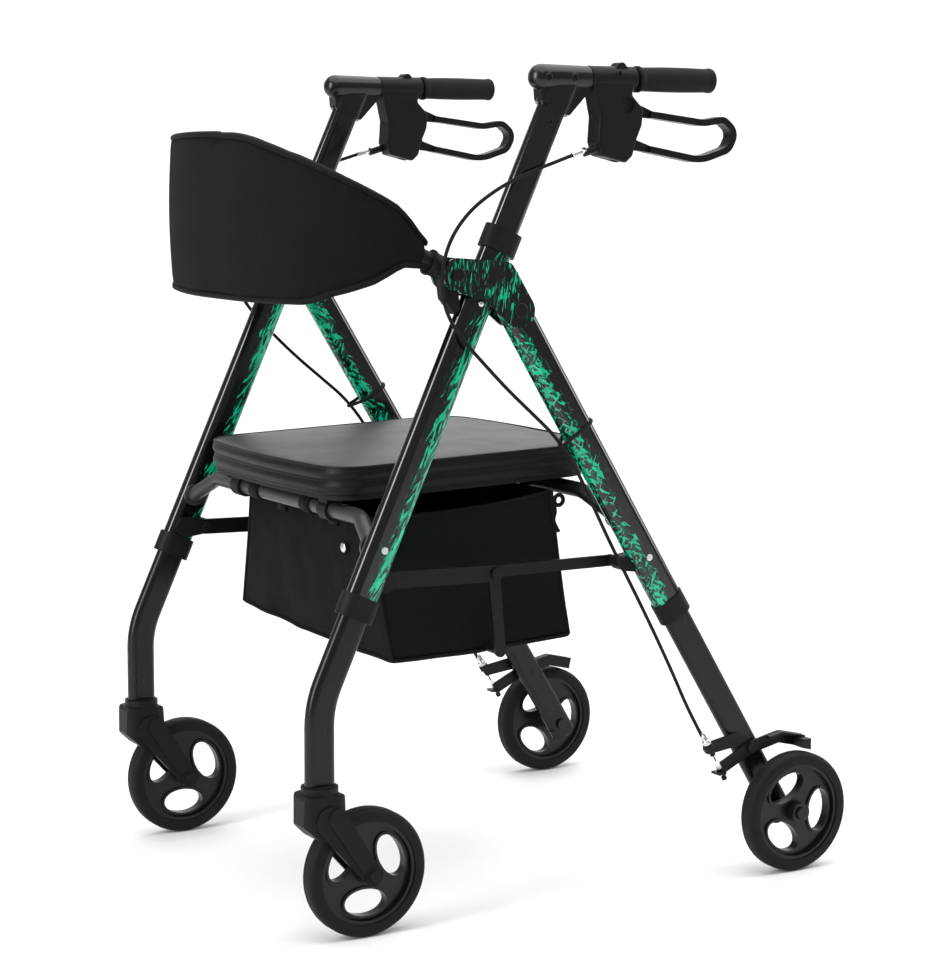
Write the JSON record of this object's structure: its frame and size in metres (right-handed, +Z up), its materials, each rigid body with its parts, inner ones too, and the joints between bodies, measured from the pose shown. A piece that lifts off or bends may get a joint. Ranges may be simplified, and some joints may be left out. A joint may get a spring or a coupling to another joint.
{
  "type": "rollator walker",
  "caption": "Folding rollator walker with wheeled telescoping legs, loop-lever brakes, padded seat, under-seat bag and curved backrest band.",
  "frame": {"origin": "on the floor, at the bottom centre of the whole walker's box", "axes": "+Z up, -Y the walking direction, +X the user's left-hand side and the line that the two side frames mirror across"},
  "size_m": [0.6282, 0.7571, 1.006],
  "materials": {
    "camo_tube": "gloss black film with emerald green leaf streaks over an aluminium tube",
    "camo_plastic": "moulding with the same film, its streaks sparser",
    "black_tube": "black painted aluminium tube",
    "black_plastic": "fine moulded texture",
    "gloss_black": "smooth moulding",
    "zinc_steel": "zinc plated",
    "grey_tube": "satin grey powder coat",
    "black_steel": "black powder coat",
    "tyre_black": "solid rubber, slightly dusty",
    "wheel_black": "fine moulded texture",
    "grip_rubber": "soft ribbed rubber",
    "lever_black": "satin black",
    "seat_vinyl": "grained black vinyl with welted edges",
    "board": "plain board",
    "bag_cloth": "woven nylon",
    "band_cloth": "padded nylon",
    "cable_jacket": "smooth jacket"
  },
  "bodies": {
    "front_frame": {"front_leg_left": "camo_tube", "front_leg_right": "camo_tube", "frame_bracket_left": "camo_plastic", "frame_bracket_right": "camo_plastic", "frame_bolts": "zinc_steel", "seat_bow_front": "grey_tube", "front_collars": "black_plastic", "backrest_sockets": "black_plastic", "brace_clips_front": "black_plastic", "bag": "bag_cloth"},
    "rear_frame": {"rear_leg_left": "camo_tube", "rear_leg_right": "camo_tube", "seat_bow_rear": "black_steel", "rear_collars": "black_plastic", "brace_clips_rear": "black_plastic", "brake_cable_left": "cable_jacket", "brake_cable_right": "cable_jacket"},
    "seat": {"seat_board": "board", "seat_cushion": "seat_vinyl"},
    "backrest": {"backrest_tube": "black_steel", "backrest_band": "band_cloth"},
    "front_brace_pair": {"front_braces": "black_steel"},
    "rear_brace_pair": {"rear_braces": "black_steel"},
    "hanging_bow": {"under_bow": "black_steel"},
    "handle_left": {"handle_tube_left": "black_tube", "handle_knuckle_left": "black_plastic", "brake_housing_left": "gloss_black", "hand_grip_left": "grip_rubber", "handle_screws_left": "zinc_steel"},
    "lever_left": {"brake_lever_left": "lever_black"},
    "front_extension_left": {"front_lower_leg_left": "black_tube"},
    "caster_left": {"caster_fork_left": "black_plastic"},
    "front_roller_left": {"front_wheel_left": "wheel_black", "front_tyre_left": "tyre_black"},
    "rear_extension_left": {"rear_lower_leg_left": "black_tube", "rear_axle_left": "zinc_steel", "brake_anchor_left": "black_steel"},
    "rear_roller_left": {"rear_wheel_left": "wheel_black", "rear_tyre_left": "tyre_black"},
    "brake_left": {"brake_arm_left": "black_steel"},
    "front_button_left": {"snap_button_front_left": "zinc_steel"},
    "rear_button_left": {"snap_button_rear_left": "zinc_steel"},
    "handle_right": {"handle_tube_right": "black_tube", "handle_knuckle_right": "black_plastic", "brake_housing_right": "gloss_black", "hand_grip_right": "grip_rubber", "handle_screws_right": "zinc_steel"},
    "lever_right": {"brake_lever_right": "lever_black"},
    "front_extension_right": {"front_lower_leg_right": "black_tube"},
    "caster_right": {"caster_fork_right": "black_plastic"},
    "front_roller_right": {"front_wheel_right": "wheel_black", "front_tyre_right": "tyre_black"},
    "rear_extension_right": {"rear_lower_leg_right": "black_tube", "rear_axle_right": "zinc_steel", "brake_anchor_right": "black_steel"},
    "rear_roller_right": {"rear_wheel_right": "wheel_black", "rear_tyre_right": "tyre_black"},
    "brake_right": {"brake_arm_right": "black_steel"},
    "front_button_right": {"snap_button_front_right": "zinc_steel"},
    "rear_button_right": {"snap_button_rear_right": "zinc_steel"}
  },
  "joints": [
    {"name": "frame_fold", "type": "hinge", "parent": "front_frame", "child": "rear_frame", "pos_m": [0, -0.09597, 0.71905], "axis": [-1, 0, 0], "range_deg": [0, 37], "deforming": ["brake_cable_left", "brake_cable_right", "bag"]},
    {"name": "front_brace_fold", "type": "hinge", "parent": "front_frame", "child": "front_brace_pair", "pos_m": [0, -0.26356, 0.411], "axis": [1, 0, 0], "range_deg": [0, 59.9]},
    {"name": "rear_brace_fold", "type": "hinge", "parent": "rear_frame", "child": "rear_brace_pair", "pos_m": [0, 0.0664, 0.407], "axis": [-1, 0, 0], "range_deg": [0, 43.34]},
    {"name": "hanging_bow_pivot", "type": "hinge", "parent": "front_brace_pair", "child": "hanging_bow", "pos_m": [0, -0.1076, 0.407], "axis": [-1, 0, 0], "range_deg": [0, 70.61]},
    {"name": "seat_lift", "type": "hinge", "parent": "front_frame", "child": "seat", "pos_m": [0, -0.2656, 0.48], "axis": [1, 0, 0], "range_deg": [0, 62.82]},
    {"name": "backrest_pull", "type": "slide", "parent": "front_frame", "child": "backrest", "axis": [0, -0.8988, 0.4384], "range_m": [0, 0.1]},
    {"name": "handle_height_left", "type": "slide", "parent": "front_frame", "child": "handle_left", "axis": [0, 0.4131, 0.9107], "range_m": [-0.1016, 0.0254], "deforming": ["brake_cable_left"]},
    {"name": "lever_squeeze_left", "type": "hinge", "parent": "handle_left", "child": "lever_left", "pos_m": [0.2565, 0.05243, 0.9567], "axis": [1, 0, 0], "range_deg": [0, 8], "stiffness_Nm_per_rad": 3, "springref_deg": -8.59},
    {"name": "front_height_left", "type": "slide", "parent": "front_frame", "child": "front_extension_left", "axis": [0, -0.4131, -0.9107], "range_m": [-0.0508, 0.0254]},
    {"name": "caster_swivel_left", "type": "hinge", "parent": "front_extension_left", "child": "caster_left", "pos_m": [0.2565, -0.3516, 0.186], "axis": [0, 0, 1], "continuous": true},
    {"name": "front_wheel_spin_left", "type": "hinge", "parent": "caster_left", "child": "front_roller_left", "pos_m": [0.2565, -0.2936, 0.0762], "axis": [1, 0, 0], "continuous": true},
    {"name": "rear_height_left", "type": "slide", "parent": "rear_frame", "child": "rear_extension_left", "axis": [0, 0.5268, -0.85], "range_m": [-0.0508, 0.0254], "deforming": ["brake_cable_left"]},
    {"name": "rear_wheel_spin_left", "type": "hinge", "parent": "rear_extension_left", "child": "rear_roller_left", "pos_m": [0.2936, 0.3024, 0.0762], "axis": [1, 0, 0], "continuous": true},
    {"name": "brake_press_left", "type": "hinge", "parent": "rear_extension_left", "child": "brake_left", "pos_m": [0.2565, 0.25109, 0.159], "axis": [-1, 0, 0], "range_deg": [0, 2.5]},
    {"name": "front_button_press_left", "type": "slide", "parent": "front_frame", "child": "front_button_left", "axis": [-1, 0, 0], "range_m": [0, 0.0025], "stiffness_N_per_m": 500, "springref_m": -0.001},
    {"name": "rear_button_press_left", "type": "slide", "parent": "rear_frame", "child": "rear_button_left", "axis": [-1, 0, 0], "range_m": [0, 0.0025], "stiffness_N_per_m": 500, "springref_m": -0.001},
    {"name": "handle_height_right", "type": "slide", "parent": "front_frame", "child": "handle_right", "axis": [0, 0.4131, 0.9107], "range_m": [-0.1016, 0.0254], "deforming": ["brake_cable_right"]},
    {"name": "lever_squeeze_right", "type": "hinge", "parent": "handle_right", "child": "lever_right", "pos_m": [-0.2565, 0.05243, 0.9567], "axis": [1, 0, 0], "range_deg": [0, 8], "stiffness_Nm_per_rad": 3, "springref_deg": -8.59},
    {"name": "front_height_right", "type": "slide", "parent": "front_frame", "child": "front_extension_right", "axis": [0, -0.4131, -0.9107], "range_m": [-0.0508, 0.0254]},
    {"name": "caster_swivel_right", "type": "hinge", "parent": "front_extension_right", "child": "caster_right", "pos_m": [-0.2565, -0.3516, 0.186], "axis": [0, 0, 1], "continuous": true},
    {"name": "front_wheel_spin_right", "type": "hinge", "parent": "caster_right", "child": "front_roller_right", "pos_m": [-0.2565, -0.2936, 0.0762], "axis": [1, 0, 0], "continuous": true},
    {"name": "rear_height_right", "type": "slide", "parent": "rear_frame", "child": "rear_extension_right", "axis": [0, 0.5268, -0.85], "range_m": [-0.0508, 0.0254], "deforming": ["brake_cable_right"]},
    {"name": "rear_wheel_spin_right", "type": "hinge", "parent": "rear_extension_right", "child": "rear_roller_right", "pos_m": [-0.2936, 0.3024, 0.0762], "axis": [1, 0, 0], "continuous": true},
    {"name": "brake_press_right", "type": "hinge", "parent": "rear_extension_right", "child": "brake_right", "pos_m": [-0.2565, 0.25109, 0.159], "axis": [-1, 0, 0], "range_deg": [0, 2.5]},
    {"name": "front_button_press_right", "type": "slide", "parent": "front_frame", "child": "front_button_right", "axis": [1, 0, 0], "range_m": [0, 0.0025], "stiffness_N_per_m": 500, "springref_m": -0.001},
    {"name": "rear_button_press_right", "type": "slide", "parent": "rear_frame", "child": "rear_button_right", "axis": [1, 0, 0], "range_m": [0, 0.0025], "stiffness_N_per_m": 500, "springref_m": -0.001}
  ],
  "couplings": [
    {"joint": "front_brace_fold", "follows": "frame_fold", "ratio": 1.6053},
    {"joint": "rear_brace_fold", "follows": "frame_fold", "ratio": 1.1579},
    {"joint": "hanging_bow_pivot", "follows": "frame_fold", "ratio": 1.8947},
    {"joint": "seat_lift", "follows": "frame_fold", "ratio": 1.6842},
    {"joint": "brake_press_left", "follows": "lever_squeeze_left", "ratio": 0.3},
    {"joint": "brake_press_right", "follows": "lever_squeeze_right", "ratio": 0.3}
  ]
}
